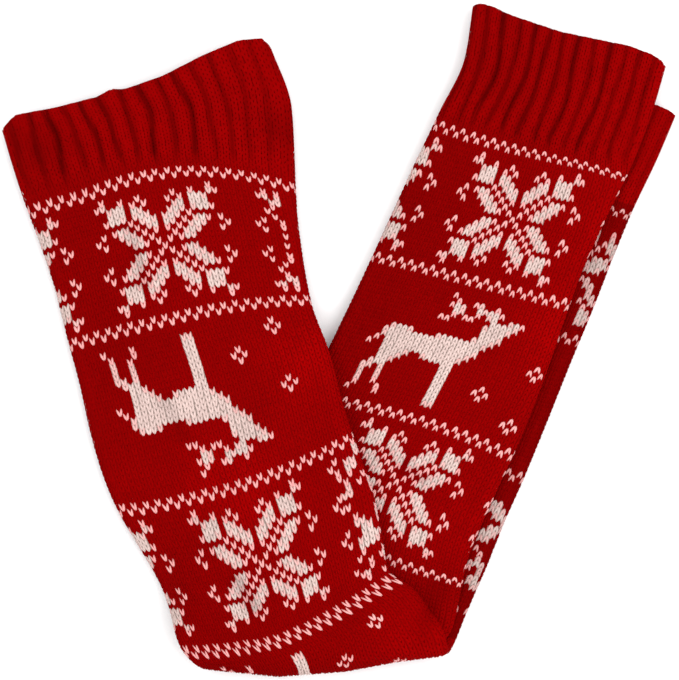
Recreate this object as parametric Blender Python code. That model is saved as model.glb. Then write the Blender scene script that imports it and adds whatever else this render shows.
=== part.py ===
# A pair of knitted over-the-knee socks, laid on each other and folded over together into a V.
# Each sock is a flat tube with a rib cuff at both ends. The outer sock lies under the inner one in
# the right leg, passes round the crease outside it and lies over it in the left leg.
# Tables and constants are in millimetres. The meshes are made in metres.
from collections import namedtuple

import bmesh
import bpy
import numpy as np

Section = namedtuple("Section", "left_x left_y right_x right_y bow")
Fold = namedtuple("Fold", "x1 y1 x2 y2 width rise")
Cuff = namedtuple("Cuff", "name mouth seam outer_ribs inner_ribs colour")

MM = 0.001
CENTRE = (0.04, -0.264)  # taken off x and y, so that the pair's box is centred on the origin

CREASE_Y = -154.0  # the line about which both socks are folded over
AXIS_HEIGHT = 12.6  # of that line above the table
TUBE = 5.4  # thickness of one flattened tube
LAYER_GAP = 0.65 # between the two tubes where they touch
WALL = 2.4  # thickness of the knit
ROUNDING = 6.0  # width of a tube's rounded side edge
SEAM = 0.36  # between a leg and its cuff
MOUTH_OPENING = 1.6  # how much more a tube opens at its mouths

SETTLE = 1.9  # how far the left leg sinks onto the right one beyond the crease
SETTLE_LENGTH = 25.0
DROP_LENGTH = 26.0  # over which it drops down to the table beside the right leg
LOOSE = 2.6 # how much further apart the two tubes are halfway down that drop
LEG_COSINE = 0.92  # of the angle between the right leg and the y axis

BEND_FADE = 60.0
BEND_X = (-79.8, -57.3, -30.3, 2.8, 28.3, 55.3)
BEND_Y = (1.5, 0.1, -1.9, 1.6, 6.0, 8.5)

EDGE_SINK = 0.25  # share of the height lost at the left leg's side edges
EDGE_SINK_WIDTH = 8.0

RIBS_DEPTH = 0.9
FACE_STEPS = 16

# Sections of each leg, from the mouth to the crease for the right leg and back up for the left one.
# Row 2 of a right leg, and the third row from the end of a left leg, is the seam of its cuff.
OUTER_RIGHT = (
    Section(72.2, 144.0, 168.2, 113.0, 0.0),
    Section(61.2, 121.0, 158.6, 90.0, 0.0),
    Section(44.2, 97.0, 147.8, 67.0, 0.0),
    Section(31.2, 70.0, 137.0, 41.0, 0.0),
    Section(18.2, 41.0, 127.3, 16.0, 0.0),
    Section(2.5, 10.0, 116.1, -11.0, 0.0),
    Section(-12.2, -22.5, 104.5, -40.0, 0.0),
    Section(-27.2, -55.0, 92.2, -70.0, 0.0),
    Section(-41.1, -85.0, 80.8, -96.0, 0.0),
    Section(-52.5, -110.0, 72.4, -121.1, 0.0),
    Section(-62.2, -131.3, 65.9, -140.4, 0.0),
    Section(-73.8, -154.0, 60.8, -154.0, 0.0),
)
OUTER_LEFT = (
    Section(-79.2, -154.0, 51.8, -154.0, 0.0),
    Section(-84.5, -137.2, 44.8, -141.1, 0.0),
    Section(-89.3, -124.8, 36.1, -126.2, 0.0),
    Section(-95.8, -111.3, 24.4, -115.0, 0.0),
    Section(-103.4, -98.0, 21.5, -100.1, 0.0),
    Section(-111.8, -83.0, 17.2, -77.0, 0.0),
    Section(-119.0, -65.0, 10.0, -56.0, 0.0),
    Section(-124.7, -45.0, 2.3, -32.5, 0.0),
    Section(-129.7, -22.5, -4.8, -6.0, 0.0),
    Section(-136.4, 2.5, -13.8, 18.5, 0.0),
    Section(-142.7, 27.5, -18.3, 42.5, 3.0),
    Section(-151.1, 52.0, -20.8, 62.0, 9.0),
    Section(-157.7, 70.0, -21.7, 77.0, 12.0),
    Section(-163.1, 87.0, -23.6, 114.0, 7.0),
    Section(-168.2, 104.5, -34.2, 145.0, 0.0),
)
INNER_RIGHT = (
    Section(66.2, 168.0, 162.2, 137.5, 0.0),
    Section(62.2, 141.5, 154.6, 111.0, 0.0),
    Section(49.8, 114.0, 144.1, 83.5, 0.0),
    Section(37.1, 87.5, 132.2, 59.0, 0.0),
    Section(24.1, 59.0, 121.0, 34.0, 0.0),
    Section(9.5, 27.5, 111.3, 7.5, 0.0),
    Section(-6.0, -5.0, 101.9, -20.0, 0.0),
    Section(-22.3, -40.0, 90.0, -50.0, 0.0),
    Section(-37.3, -72.5, 76.3, -80.0, 0.0),
    Section(-51.1, -102.5, 64.4, -109.4, 0.0),
    Section(-63.3, -129.3, 59.8, -136.8, 0.0),
    Section(-73.8, -154.0, 56.2, -154.0, 0.0),
)
INNER_LEFT = (
    Section(-76.8, -154.0, 49.8, -154.0, 0.0),
    Section(-82.0, -137.2, 42.2, -140.9, 0.0),
    Section(-86.8, -124.8, 33.6, -126.1, 0.0),
    Section(-93.2, -111.3, 21.9, -114.9, 0.0),
    Section(-100.9, -98.0, 19.0, -100.1, 0.0),
    Section(-109.2, -83.0, 14.7, -77.0, 0.0),
    Section(-116.5, -65.0, 7.5, -56.0, 0.0),
    Section(-122.2, -45.0, -0.2, -32.5, 0.0),
    Section(-127.2, -22.5, -7.3, -6.0, 0.0),
    Section(-133.9, 2.5, -16.3, 18.5, 0.0),
    Section(-139.5, 25.0, -20.2, 39.0, 3.0),
    Section(-147.3, 48.5, -22.8, 57.0, 9.0),
    Section(-153.9, 66.0, -24.0, 72.0, 12.0),
    Section(-159.0, 82.0, -25.9, 108.0, 7.0),
    Section(-163.8, 98.5, -33.2, 139.0, 0.0),
)

# How far two of the mouths stand out past a straight cut, at shares of the way across.
INNER_NARROW_MOUTH = ((0.0, 0.0), (0.2, 1.0), (0.45, 1.0), (0.67, 3.0), (0.8, 4.5), (0.92, 2.5), (1.0, 0.0))
OUTER_WIDE_MOUTH = ((0.0, 0.0), (0.08, 4.0), (0.2, 3.5), (0.47, 2.0), (0.75, 6.0), (0.9, 7.5), (1.0, 0.0))
PLAIN_MOUTH = ((0.0, 0.0), (1.0, 0.0))

# The large soft folds, as lines with a width and a share of the height there.
FOLDS = (
    Fold(-14.0, -58.0, -9.0, -118.0, 9.0, -0.07),
    Fold(-20.0, 25.0, 20.0, -112.0, 7.0, 0.05),
    Fold(-84.0, -92.0, -70.0, -138.0, 8.0, 0.06),
    Fold(-86.0, 40.0, -99.0, -38.0, 8.0, -0.10),
    Fold(-118.0, 62.0, -112.0, -12.0, 10.0, 0.07),
    Fold(-52.0, -150.0, -18.0, -128.0, 7.0, -0.06),
    Fold(128.0, 70.0, 72.0, -75.0, 7.0, 0.10),
    Fold(40.0, -52.0, 30.0, -92.0, 8.0, -0.09),
    Fold(48.0, -125.0, 36.0, -138.0, 7.0, -0.12),
    Fold(78.0, 118.0, 70.0, 60.0, 7.0, -0.07),
)


def ease(t):
    """From 0 to 1 with level ends."""
    t = np.clip(t, 0.0, 1.0)
    return t * t * (3.0 - 2.0 * t)


def along(values, at):
    """A smooth curve through the rows of values, read at row numbers, with no overshoot."""
    steps = np.diff(values, axis=0)
    before, after = steps[:-1], steps[1:]
    same = before * after > 0.0
    slopes = np.empty_like(values)
    slopes[0], slopes[-1] = steps[0], steps[-1]
    slopes[1:-1] = np.where(same, 2.0 * before * after / np.where(same, before + after, 1.0), 0.0)
    at = np.asarray(at, dtype=float)
    row = np.clip(np.floor(at).astype(int), 0, len(values) - 2)
    t = (at - row)[:, None]
    rise = ease(t)
    return (
        values[row] * (1.0 - rise)
        + values[row + 1] * rise
        + slopes[row] * t * (1.0 - t) ** 2
        - slopes[row + 1] * t * t * (1.0 - t)
    )


class Sock:
    """One sock's path. Its s runs down the right leg to 0, round the crease and up the left leg."""

    def __init__(self, right, left, arc_left_x, arc_right_x, under):
        self.under = under
        self.radius = AXIS_HEIGHT - (0.5 if under else 1.5) * TUBE - (0.0 if under else LAYER_GAP)
        self.half_turn = np.pi * self.radius
        rows = [[r.left_x, r.left_y - CREASE_Y, r.right_x, r.right_y - CREASE_Y, r.bow] for r in right]
        rows.append([arc_left_x, -0.5 * self.half_turn, arc_right_x, -0.5 * self.half_turn, 0.0])
        for r in left:
            left_s = CREASE_Y - r.left_y - self.half_turn
            right_s = CREASE_Y - r.right_y - self.half_turn
            rows.append([r.left_x, left_s, r.right_x, right_s, -r.bow])
        self.rows = np.array(rows)
        self.crease_row = len(right) - 1

    def section(self, row):
        return along(self.rows, [row])[0]


OUTER = Sock(OUTER_RIGHT, OUTER_LEFT, -70.5, 55.0, True)
INNER = Sock(INNER_RIGHT, INNER_LEFT, -72.0, 52.0, False)

PILE_EDGE = np.array([(row.left_y, row.left_x) for row in reversed(INNER_RIGHT)])
TOP_LEFT_EDGE = np.array([(row.left_y, row.left_x) for row in OUTER_LEFT])
TOP_RIGHT_EDGE = np.array([(row.right_y, row.right_x) for row in OUTER_LEFT])


def at_height(edge, y):
    """The x of an edge, given as rows of y and x, at each y, carried on straight below its end."""
    start = (edge[1] - edge[0]) / (edge[1, 0] - edge[0, 0])
    return np.interp(y, edge[:, 0], edge[:, 1]) + np.minimum(y - edge[0, 0], 0.0) * start[1]


def swell(x, y):
    """The share by which the whole pile is higher or lower at a place in plan."""
    share = np.zeros_like(x)
    for fold in FOLDS:
        dx, dy = fold.x2 - fold.x1, fold.y2 - fold.y1
        t = np.clip(((x - fold.x1) * dx + (y - fold.y1) * dy) / (dx * dx + dy * dy), 0.0, 1.0)
        away = np.hypot(x - fold.x1 - t * dx, y - fold.y1 - t * dy)
        share += fold.rise * np.exp(-((away / fold.width) ** 2))
    from_left = (x - at_height(TOP_LEFT_EDGE, y)) / EDGE_SINK_WIDTH
    from_right = (x - at_height(TOP_RIGHT_EDGE, y)) / EDGE_SINK_WIDTH
    above_crease = ease((y - CREASE_Y) / 40.0)
    above_meeting = ease((y + 4.0) / 30.0)
    share -= EDGE_SINK * above_crease * np.exp(-(from_left**2))
    share -= EDGE_SINK * above_meeting * np.exp(-(from_right**2))
    return 1.0 + share


def place(sock, x, s, level, inset):
    """Points on a tube. level is 1 on the face outside the fold and -1 on the face inside it."""
    turn = np.clip(-s / sock.radius, 0.0, np.pi)
    on_right = s > 0.0
    on_left = s < -sock.half_turn
    up_leg = np.where(on_right, s, np.where(on_left, -s - sock.half_turn, 0.0))
    flat_y = CREASE_Y + up_leg
    opening = np.where(on_right, ease((flat_y - 90.0) / 60.0), ease((flat_y - 60.0) / 60.0))
    half = 0.5 * (TUBE + MOUTH_OPENING * opening)
    lift = level * (half - inset)

    right_middle = half if sock.under else 3.0 * half + LAYER_GAP
    left_middle = 3.0 * half + LAYER_GAP if sock.under else half
    beside = (at_height(PILE_EDGE, flat_y) - x) * LEG_COSINE / DROP_LENGTH
    dropped = ease(beside) * ease(up_leg / 12.0)
    base = 2.0 * AXIS_HEIGHT - 2.0 * TUBE - LAYER_GAP
    base = base - SETTLE * ease(up_leg / SETTLE_LENGTH) - (base - SETTLE) * dropped
    if sock.under:
        left_middle = left_middle + 2.0 * LOOSE * np.sqrt(dropped * (1.0 - dropped))

    reach = sock.radius + lift
    y = np.where(on_right | on_left, flat_y, CREASE_Y - reach * np.sin(turn))
    z = np.where(on_right, right_middle - lift, AXIS_HEIGHT - reach * np.cos(turn))
    z = np.where(on_left, base + left_middle + lift, z)

    y = y + np.interp(x, BEND_X, BEND_Y) * (1.0 - ease((y - CREASE_Y) / BEND_FADE))
    z = z * swell(x, y)
    return np.stack([(x - CENTRE[0]) * MM, (y - CENTRE[1]) * MM, z * MM], axis=-1)


def ring(sock, row, turns, inset, mouth=PLAIN_MOUTH, mouth_share=0.0, shift=0.0):
    """One closed ring of a tube. turns holds, for each point, its share across and its edge angle."""
    left_x, left_s, right_x, right_s, bow = sock.section(row)
    width = np.hypot(right_x - left_x, right_s - left_s)
    across, angle = turns[:, 0], turns[:, 1]
    inset = np.broadcast_to(inset, across.shape)
    round_width = ROUNDING - inset
    out = np.abs(np.cos(angle)) * round_width
    side = np.cos(angle)
    flat = ROUNDING + (width - 2.0 * ROUNDING) * across
    distance = np.where(np.abs(side) > 1e-9, flat + np.sign(side) * out, flat)
    share = distance / width
    rise = mouth_share * np.interp(share, *np.array(mouth).T)
    away = 1.0 if row < sock.crease_row else -1.0
    x = left_x + (right_x - left_x) * share
    s = left_s + (right_s - left_s) * share + 4.0 * bow * share * (1.0 - share)
    s = s + away * (rise + shift)
    return place(sock, x, s, np.sin(angle), inset)


def plain_turns(steps, edge_angles):
    """Ring points from the right edge over the outer face, round the left edge and back."""
    up = np.pi / 2.0
    face = np.linspace(1.0, 0.0, steps + 1)
    right_edge = [(1.0, a) for a in edge_angles]
    left_edge = [(0.0, np.pi - a) for a in reversed(edge_angles)]
    outer = [(share, up) for share in face]
    inner = [(share, -up) for share in face[::-1]]
    return np.array(right_edge + outer + left_edge + inner)


def rib_turns(outer_ribs, inner_ribs, width):
    """Three points a rib, the first of them in its valley, evenly round the tube."""
    quarter = 0.5 * np.pi * np.hypot(ROUNDING, 0.5 * TUBE) / np.sqrt(2.0)
    half = 2.0 * quarter + width - 2.0 * ROUNDING
    rows = []
    for ribs, sign in ((outer_ribs, 1.0), (inner_ribs, -1.0)):
        way = half * np.arange(3 * ribs) / (3.0 * ribs)
        way = way if sign > 0.0 else half - way
        right = np.clip(way / quarter, 0.0, 1.0) * np.pi / 2.0
        left = np.clip((way - half + quarter) / quarter, 0.0, 1.0) * np.pi / 2.0
        share = np.clip(1.0 - (way - quarter) / (half - 2.0 * quarter), 0.0, 1.0)
        rows.append(np.stack([share, sign * (right + left)], axis=-1))
    turns = np.concatenate(rows)
    valley = np.arange(len(turns)) % 3 == 0
    return turns, np.where(valley, RIBS_DEPTH, 0.0)


def zipped(first, second, places):
    """Triangles between two rings of vertex numbers, run along together by their places."""
    shares = []
    for numbers in (first, second):
        points = places[numbers]
        gaps = np.linalg.norm(np.roll(points, -1, axis=0) - points, axis=1)
        shares.append(np.concatenate([[0.0], np.cumsum(gaps) / gaps.sum()]))
    triangles = []
    i = j = 0
    while i < len(first) or j < len(second):
        a, b = first[i % len(first)], second[j % len(second)]
        step_first = j == len(second) or (i < len(first) and shares[0][i + 1] <= shares[1][j + 1])
        if step_first:
            i += 1
            triangles.append((a, first[i % len(first)], b))
        else:
            j += 1
            triangles.append((a, second[j % len(second)], b))
    return triangles


def tube_object(name, outer_rings, inner_rings, colour):
    """A closed wall between a stack of outer rings and a stack of inner rings."""
    stacks = [np.array(outer_rings), np.array(inner_rings)]
    places = np.concatenate([stack.reshape(-1, 3) for stack in stacks])
    triangles = []
    starts = []
    base = 0
    for stack, outwards in zip(stacks, (True, False)):
        count, size = stack.shape[:2]
        starts.append(base + np.arange(count)[:, None] * size + np.arange(size)[None, :])
        for k in range(count - 1):
            for j in range(size):
                n = (j + 1) % size
                a, b = starts[-1][k, j], starts[-1][k, n]
                c, d = starts[-1][k + 1, n], starts[-1][k + 1, j]
                one_way = np.linalg.norm(places[a] - places[c]) < np.linalg.norm(places[b] - places[d])
                pair = [(a, b, c), (a, c, d)] if one_way else [(a, b, d), (b, c, d)]
                triangles += pair if outwards else [t[::-1] for t in pair]
        base += count * size
    triangles += [t[::-1] for t in zipped(starts[0][0], starts[1][0], places)]
    triangles += zipped(starts[0][-1], starts[1][-1], places)

    mesh = bpy.data.meshes.new(name)
    mesh.from_pydata([tuple(p) for p in places], [], [tuple(int(v) for v in t) for t in triangles])
    shaped = bmesh.new()
    shaped.from_mesh(mesh)
    bmesh.ops.recalc_face_normals(shaped, faces=shaped.faces)
    if shaped.calc_volume(signed=True) < 0.0:
        bmesh.ops.reverse_faces(shaped, faces=shaped.faces)
    shaped.to_mesh(mesh)
    shaped.free()
    material = bpy.data.materials.new(name)
    material.use_nodes = True
    principled = material.node_tree.nodes["Principled BSDF"]
    principled.inputs["Base Color"].default_value = (*colour, 1.0)
    principled.inputs["Roughness"].default_value = 0.95
    mesh.materials.append(material)
    bpy.context.collection.objects.link(bpy.data.objects.new(name, mesh))


def leg(sock, name, colour):
    """The plain-knit tube between the two cuff seams."""
    last = len(sock.rows) - 3
    crease = sock.crease_row
    rows = list(range(2, crease)) + list(np.arange(crease, crease + 2.01, 0.25))
    rows += list(range(crease + 3, last + 1))
    outer_turns = plain_turns(FACE_STEPS, np.radians([-60.0, -30.0, 0.0, 30.0, 60.0]))
    inner_turns = plain_turns(FACE_STEPS, np.radians([0.0]))
    outer = [ring(sock, row, outer_turns, 0.0) for row in rows]
    inner = [ring(sock, row, inner_turns, WALL) for row in rows]
    tube_object(name, outer, inner, colour)


def cuff(sock, cuff, mouth):
    """A rib cuff: ribs outside, plain inside."""
    section = sock.section(cuff.mouth)
    width = np.hypot(section[2] - section[0], section[3] - section[1])
    turns, groove = rib_turns(cuff.outer_ribs, cuff.inner_ribs, width)
    inner_turns = plain_turns(FACE_STEPS, np.radians([0.0]))
    outer = []
    inner = []
    for k in range(4):
        row = cuff.mouth + (cuff.seam - cuff.mouth) * k / 3.0
        share = 1.0 - k / 3.0
        shift = SEAM if k == 3 else 0.0
        outer.append(ring(sock, row, turns, groove, mouth, share, shift))
        inner.append(ring(sock, row, inner_turns, WALL, mouth, share, shift))
    tube_object(cuff.name, outer, inner, cuff.colour)


for old in list(bpy.data.objects):
    bpy.data.objects.remove(old, do_unlink=True)

last_row = len(OUTER.rows) - 1
leg(INNER, "inner_sock_leg", (0.42, 0.0, 0.0))
leg(OUTER, "outer_sock_leg", (0.36, 0.0, 0.0))
inner_narrow = Cuff("inner_sock_narrow_cuff", 0, 2, 16, 12, (0.34, 0.0, 0.0))
inner_wide = Cuff("inner_sock_wide_cuff", last_row, last_row - 2, 14, 14, (0.34, 0.0, 0.0))
outer_narrow = Cuff("outer_sock_narrow_cuff", 0, 2, 14, 14, (0.3, 0.0, 0.0))
outer_wide = Cuff("outer_sock_wide_cuff", last_row, last_row - 2, 14, 14, (0.3, 0.0, 0.0))
cuff(INNER, inner_narrow, INNER_NARROW_MOUTH)
cuff(INNER, inner_wide, PLAIN_MOUTH)
cuff(OUTER, outer_narrow, PLAIN_MOUTH)
cuff(OUTER, outer_wide, OUTER_WIDE_MOUTH)
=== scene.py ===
# Folded pair of knitted over-the-knee socks, seen from straight above.
# Every stitch that shows is two small loops of mesh, laid over a thin ground of the same form.
import math

import bpy
import numpy as np
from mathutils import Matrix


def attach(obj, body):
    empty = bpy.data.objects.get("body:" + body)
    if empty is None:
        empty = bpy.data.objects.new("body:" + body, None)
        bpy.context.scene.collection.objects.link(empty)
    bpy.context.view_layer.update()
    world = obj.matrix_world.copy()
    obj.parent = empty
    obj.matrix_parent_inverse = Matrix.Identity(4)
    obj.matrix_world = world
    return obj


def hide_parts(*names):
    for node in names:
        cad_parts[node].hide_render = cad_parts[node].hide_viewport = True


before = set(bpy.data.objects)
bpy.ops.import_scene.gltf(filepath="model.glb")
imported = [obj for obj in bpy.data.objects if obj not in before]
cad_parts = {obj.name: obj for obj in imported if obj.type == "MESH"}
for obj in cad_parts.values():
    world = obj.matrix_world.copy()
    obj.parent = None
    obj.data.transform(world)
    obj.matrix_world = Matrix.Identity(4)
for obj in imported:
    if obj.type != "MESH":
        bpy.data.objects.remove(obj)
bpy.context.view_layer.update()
scene = bpy.context.scene
rng = np.random.default_rng(84)

# The lay of the two socks, in millimetres, as in the solids but for the bend along the crease
lay = {
    "centre": (0.04, -0.264),
    "creaseY": -154.0,
    "axisHeight": 12.6,  # height of the line that the socks are folded round
    "tube": 5.4,  # height of one flattened tube
    "layerGap": 0.65,
    "rounding": 6.0,  # width of a tube's rounded sides
    "mouthOpening": 1.6,
    "rightMouthFrom": 90.0,
    "leftMouthFrom": 60.0,
    "mouthEase": 60.0,
    "settle": 1.9,  # how far the left leg sinks behind the crease
    "settleLength": 25.0,
    "dropFrom": 12.0,
    "dropLength": 26.0,  # over which the left leg goes down beside the pile
    "loose": 2.6,
    "legCosine": 0.92,
    "bendFade": 60.0,
    "bendX": (-79.8, -57.3, -30.3, 2.8, 28.3, 55.3),
    "bendY": (4.6, 2.0, -0.7, 1.9, 6.6, 10.0),
    "edgeSink": 0.25,  # share of the height that the left leg loses at its side edges
    "edgeSinkWidth": 8.0,
    "leftSinkEase": 40.0,
    "rightSinkFrom": -4.0,
    "rightSinkEase": 30.0,
    "pathSteps": 4000,
    "courseSteps": 3000,
}

# Sections of each sock: left x, left y, right x, right y. They go down the right leg to the crease,
# and from it up the left leg.
outerRight = [
    (72.2, 144.0, 168.2, 113.0), (61.2, 121.0, 158.6, 90.0), (44.2, 97.0, 147.8, 67.0),
    (31.2, 70.0, 137.0, 41.0), (18.2, 41.0, 127.3, 16.0), (2.5, 10.0, 116.1, -11.0),
    (-12.2, -22.5, 104.5, -40.0), (-27.2, -55.0, 92.2, -70.0), (-41.1, -85.0, 80.8, -96.0),
    (-52.5, -110.0, 72.4, -121.1), (-62.2, -131.3, 65.9, -140.4), (-73.8, -154.0, 60.8, -154.0),
]
outerLeft = [
    (-79.2, -154.0, 51.8, -154.0), (-84.5, -137.2, 44.8, -141.1), (-89.3, -124.8, 36.1, -126.2),
    (-95.8, -111.3, 24.4, -115.0), (-103.4, -98.0, 21.5, -100.1), (-111.8, -83.0, 17.2, -77.0),
    (-119.0, -65.0, 10.0, -56.0), (-124.7, -45.0, 2.3, -32.5), (-129.7, -22.5, -4.8, -6.0),
    (-136.4, 2.5, -13.8, 18.5), (-142.7, 27.5, -18.3, 42.5), (-151.1, 52.0, -20.8, 62.0),
    (-157.7, 70.0, -21.7, 77.0), (-163.1, 87.0, -23.6, 114.0), (-168.2, 104.5, -34.2, 145.0),
]
innerRight = [
    (66.2, 168.0, 162.2, 137.5), (62.2, 141.5, 154.6, 111.0), (49.8, 114.0, 144.1, 83.5),
    (37.1, 87.5, 132.2, 59.0), (24.1, 59.0, 121.0, 34.0), (9.5, 27.5, 111.3, 7.5),
    (-6.0, -5.0, 101.9, -20.0), (-22.3, -40.0, 90.0, -50.0), (-37.3, -72.5, 76.3, -80.0),
    (-51.1, -102.5, 64.4, -109.4), (-63.3, -129.3, 59.8, -136.8), (-73.8, -154.0, 56.2, -154.0),
]
innerLeft = [
    (-76.8, -154.0, 49.8, -154.0), (-82.0, -137.2, 42.2, -140.9), (-86.8, -124.8, 33.6, -126.1),
    (-93.2, -111.3, 21.9, -114.9), (-100.9, -98.0, 19.0, -100.1), (-109.2, -83.0, 14.7, -77.0),
    (-116.5, -65.0, 7.5, -56.0), (-122.2, -45.0, -0.2, -32.5), (-127.2, -22.5, -7.3, -6.0),
    (-133.9, 2.5, -16.3, 18.5), (-139.5, 25.0, -20.2, 39.0), (-147.3, 48.5, -22.8, 57.0),
    (-153.9, 66.0, -24.0, 72.0), (-159.0, 82.0, -25.9, 108.0), (-163.8, 98.5, -33.2, 139.0),
]

# Where some courses lie: course, distance along the left edge, along the right edge, and bow.
# Course 0 is the mouth of the narrow cuff and the last one the mouth of the wide cuff.
outerCourses = [
    (0, 298.0, 267.0, 0.0), (27, 249.4, 219.4, 0.0), (29, 245.5, 215.5, 0.0), (54, 179.5, 152.5, 0.0),
    (84, 116.5, 84.0, 0.0), (110, 53.1, 10.1, 0.0), (140, -23.4, -58.6, 7.0), (166, -100.1, -133.6, 6.5),
    (196, -181.1, -202.1, -3.5), (221, -251.6, -258.6, -13.0), (224, -259.2, -266.4, -12.6),
    (246, -289.6, -330.1, 0.0),
]
innerCourses = [
    (0, 322.0, 291.5, 0.0), (27, 266.4, 235.9, 0.0), (29, 262.5, 232.0, 0.0), (54, 196.5, 169.5, 0.0),
    (84, 127.5, 95.0, 0.0), (110, 65.0, 24.6, 0.0), (140, -4.4, -39.6, 0.0), (166, -81.1, -114.6, 6.5),
    (196, -162.1, -183.1, -3.5), (221, -232.6, -239.6, -13.0), (224, -236.5, -243.5, -12.0),
    (246, -264.6, -305.1, 0.0),
]

# How far the knit strays from even columns and courses: course, shift in columns at six even steps
# from the left edge to the right one, then shift in courses at the same steps.
driftSteps = 6
outerDrift = [
    (108, 0.0, 0.0, 0.0, 0.0, 0.0, 0.0, 0.0, 0.0, 0.0, 0.0, 0.0, 0.0),
    (128, 1.0, 0.8, 0.5, 0.2, 0.0, -0.3, 3.0, 3.1, 3.1, 3.1, 3.0, 2.9),
    (140, 0.3, 0.2, 0.0, -0.1, -0.3, -0.6, 1.8, 2.1, 2.2, 2.4, 2.7, 2.9),
    (153, -0.9, -0.9, -0.7, -0.7, -0.8, -0.8, 0.1, 0.3, 0.7, 1.2, 1.8, 2.3),
    (166, 0.1, 0.6, 0.9, 0.7, 0.2, -0.4, 0.1, 0.4, 0.8, 1.0, 1.3, 1.7),
    (181, 0.6, 0.8, 0.7, 0.7, 0.5, 0.1, 0.5, 0.8, 1.0, 1.3, 1.4, 1.4),
    (196, 0.2, 0.0, -0.2, 0.0, 0.2, 0.3, 0.6, 0.7, 0.9, 1.3, 1.6, 1.5),
    (208, 0.3, -0.2, -0.6, -0.7, -0.5, -0.2, 0.0, -0.1, 0.4, 1.1, 1.5, 1.4),
    (221, 0.8, 0.2, -0.3, -0.6, -0.7, -0.8, -1.2, -1.8, -0.5, 0.5, 0.7, 0.9),
    (228, 0.4, 0.1, -0.1, -0.3, -0.4, -0.4, 0.0, 0.0, 0.0, 0.0, 0.0, 0.0),
    (246, 0.0, 0.0, 0.0, 0.0, 0.0, 0.0, 0.0, 0.0, 0.0, 0.0, 0.0, 0.0),
]
innerDrift = [
    (22, -0.6, -0.6, -0.6, -0.6, -0.6, -0.6, 0.0, 0.0, 0.0, 0.0, 0.0, 0.0),
    (29, -0.3, -0.3, -0.4, -0.6, -0.5, 0.1, 0.8, 0.9, 0.6, 0.0, -0.9, -1.1),
    (41, 1.1, 1.2, 1.1, 1.1, 1.3, 1.6, 0.8, 0.7, 0.4, -0.2, -0.7, -1.1),
    (54, 1.1, 1.0, 1.1, 1.3, 1.5, 1.9, 0.5, 0.2, 0.1, -0.1, -0.2, -0.4),
    (69, 0.9, 0.7, 0.7, 0.8, 1.0, 1.2, 0.3, -0.3, -0.7, -0.7, -0.5, -0.1),
    (84, 0.7, 0.3, 0.0, -0.2, -0.3, -0.3, 0.2, -0.5, -1.2, -1.3, -1.0, -0.2),
    (96, 0.4, 0.0, -0.3, -0.6, -0.7, -0.7, -0.3, -1.1, -1.9, -2.2, -1.5, -0.6),
    (110, 0.1, -0.1, -0.2, -0.2, -0.3, -0.5, -1.0, -1.5, -1.9, -1.9, -1.4, -0.6),
    (126, 0.0, 0.0, 0.0, 0.0, 0.0, 0.0, 0.0, 0.0, 0.0, 0.0, 0.0, 0.0),
]

# How far each mouth stands out past a straight cut, at shares of the way across
innerNarrowMouth = [
    (0.0, -2.2), (0.02, -0.7), (0.05, 0.2), (0.1, 0.4), (0.2, -1.0), (0.45, -1.4),
    (0.67, 0.9), (0.8, 2.4), (0.92, 1.8), (0.97, 0.5), (1.0, -2.0),
]
innerWideMouth = [(0.0, 0.0), (1.0, 0.0)]
outerNarrowMouth = [(0.0, 0.0), (0.75, 0.0), (0.9, 1.2), (0.97, 0.4), (1.0, -0.8)]
outerWideMouth = [
    (0.0, 0.0), (0.02, 2.4), (0.05, 5.0), (0.08, 4.6), (0.2, 2.6), (0.36, 1.6), (0.41, 3.4),
    (0.46, 1.3), (0.6, 2.2), (0.75, 6.4), (0.88, 8.4), (0.97, 6.2), (1.0, 1.0),
]

# How many of the columns lie on the face in the picture: course, columns
outerFace = [(0, 42), (27, 42), (40, 43), (212, 43), (224, 44), (246, 45)]
innerFace = [(0, 39.5), (24, 39.5), (30, 38), (246, 38)]

# Soft folds as lines, the same as in the solids: x1, y1, x2, y2, width, share of the height there
softFolds = [
    (-14.0, -58.0, -9.0, -118.0, 9.0, -0.07),
    (-20.0, 25.0, 20.0, -112.0, 7.0, 0.05),
    (-84.0, -92.0, -70.0, -138.0, 8.0, 0.06),
    (-86.0, 40.0, -99.0, -38.0, 8.0, -0.10),
    (-118.0, 62.0, -112.0, -12.0, 10.0, 0.07),
    (-52.0, -150.0, -18.0, -128.0, 7.0, -0.06),
    (128.0, 70.0, 72.0, -75.0, 7.0, 0.10),
    (40.0, -52.0, 30.0, -92.0, 8.0, -0.09),
    (48.0, -125.0, 36.0, -138.0, 7.0, -0.12),
    (78.0, 118.0, 70.0, 60.0, 7.0, -0.07),
]

knit = {
    "around": 84,  # columns round each sock
    "courses": 246,
    "narrowSeam": 27,  # courses where the leg starts and ends
    "wideSeam": 224,
    "narrowFade": (-3.0, 4.5),  # courses from the seam to where the rib fades, and the fade's length
    "wideFade": (-2.5, 5.0),
    "outerFold": 125,  # course at the crease
    "innerFold": 128,
    "groundInset": 0.72,
    "groundThickness": 1.0,
}
ribs = {
    "depth": 1.35,
    "every": 3.0,  # columns
    "bells": ((0.62, 0.42), (0.38, 1.0)),  # share and width of each
    "waver": 0.3,
    "waves": ((0.14, 0.35, 1.0), (0.37, -0.9, 0.5)),  # turn a course, turn a column, share
    "mean": 0.84,
    "uneven": 0.16,
    "unevenTurn": 0.9,  # a column
    "flatFrom": 0.6,  # share of the way across where a cuff starts to be pulled flat
    "flatEase": 0.3,
    "sideFade": 2.4,
    # painted shade: share by which the stitches darken along the rib valleys
    "paintedShade": 0.64,
}


def ease(t):
    # 0 to 1 with level ends
    t = np.clip(t, 0.0, 1.0)
    return t * t * (3.0 - 2.0 * t)


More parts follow.
